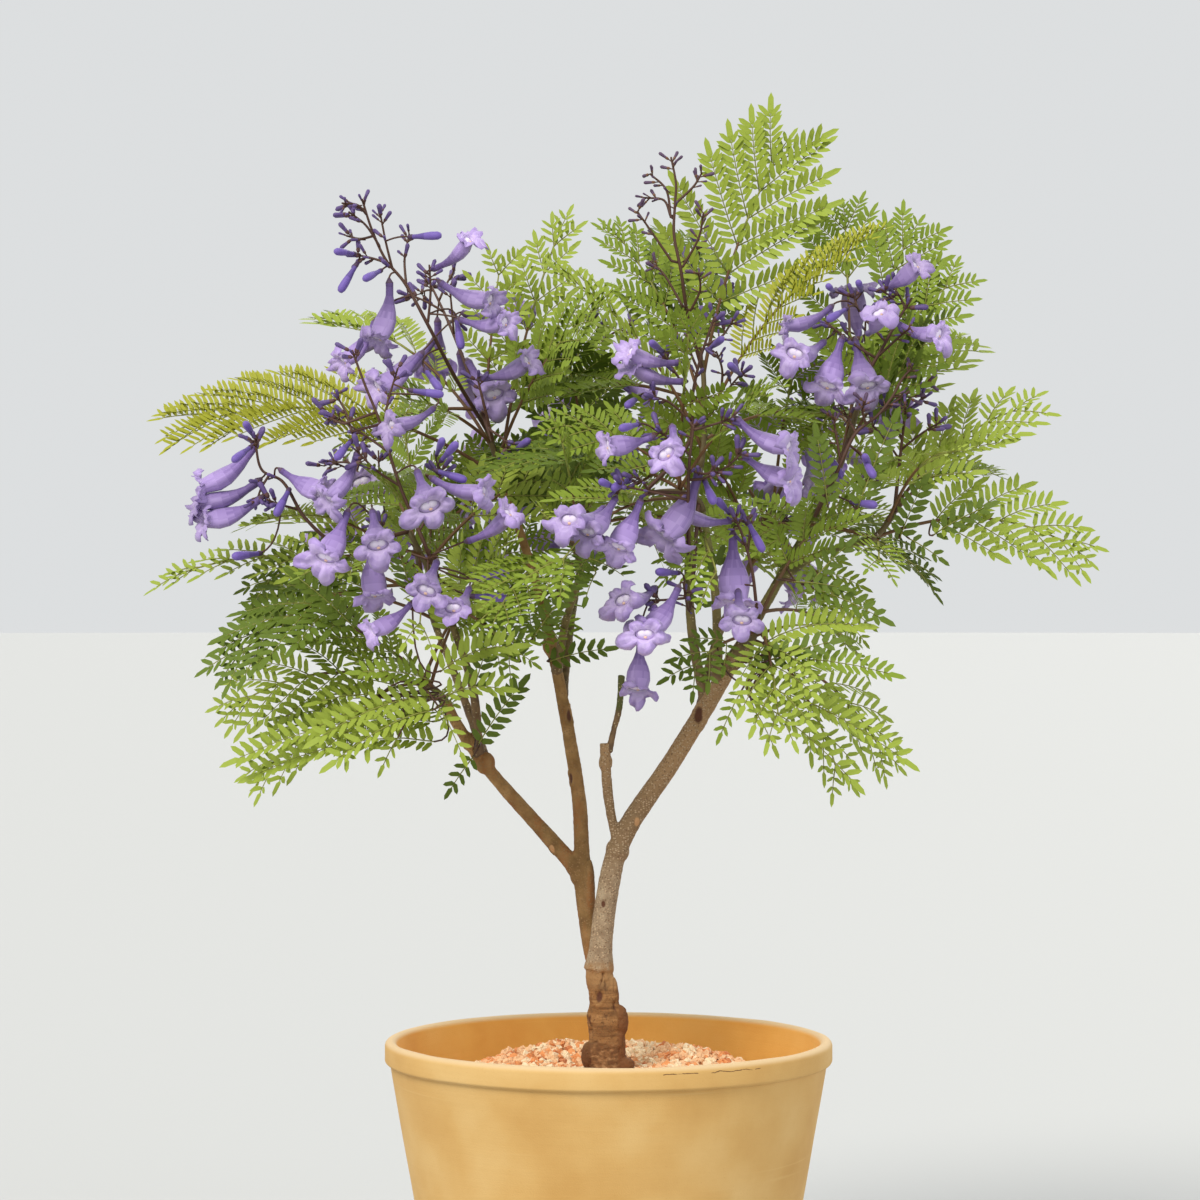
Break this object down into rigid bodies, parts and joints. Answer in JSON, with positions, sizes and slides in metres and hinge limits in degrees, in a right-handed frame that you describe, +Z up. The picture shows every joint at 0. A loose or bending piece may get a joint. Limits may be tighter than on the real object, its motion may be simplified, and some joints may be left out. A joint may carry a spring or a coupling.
{
  "type": "flowering bonsai tree in a pot",
  "caption": "Small jacaranda tree in full flower, with forked bare stems, fern-like leaves and violet trumpet blossom, standing in a round tan clay pot of gravel.",
  "frame": {"origin": "centre of the pot's flat underside", "axes": "+Z up, the side that the picture shows faces -Y, +X to its right"},
  "size_m": [0.4874, 0.3606, 0.6523],
  "materials": {
    "clay": "matt unglazed",
    "gravel": "dry granules",
    "bark": "rough bark",
    "young_wood": "smooth young bark",
    "foliage": "satin leaf",
    "blossom": "soft petal"
  },
  "bodies": {
    "root": {"pot": "clay", "soil": "gravel", "trunk": "bark", "right_bough": "bark", "left_stem": "bark", "left_bough": "bark", "centre_bough": "bark", "stub_bough": "bark", "stub_shoot": "young_wood", "left_upright": "young_wood", "left_back_bough": "young_wood", "centre_front_bough": "young_wood", "centre_back_bough": "young_wood", "right_inner_bough": "young_wood", "right_upper_bough": "young_wood", "right_outer_bough": "young_wood", "right_side_bough": "young_wood", "right_back_bough": "young_wood", "right_low_bough": "young_wood", "foliage_left_low": "foliage", "foliage_left_side": "foliage", "foliage_left_top": "foliage", "foliage_middle": "foliage", "foliage_inner": "foliage", "foliage_inner_top": "foliage", "foliage_right_top": "foliage", "foliage_right_side": "foliage", "foliage_right_low": "foliage", "foliage_left_back": "foliage", "foliage_middle_back": "foliage", "foliage_right_back": "foliage"}
  },
  "joints": []
}
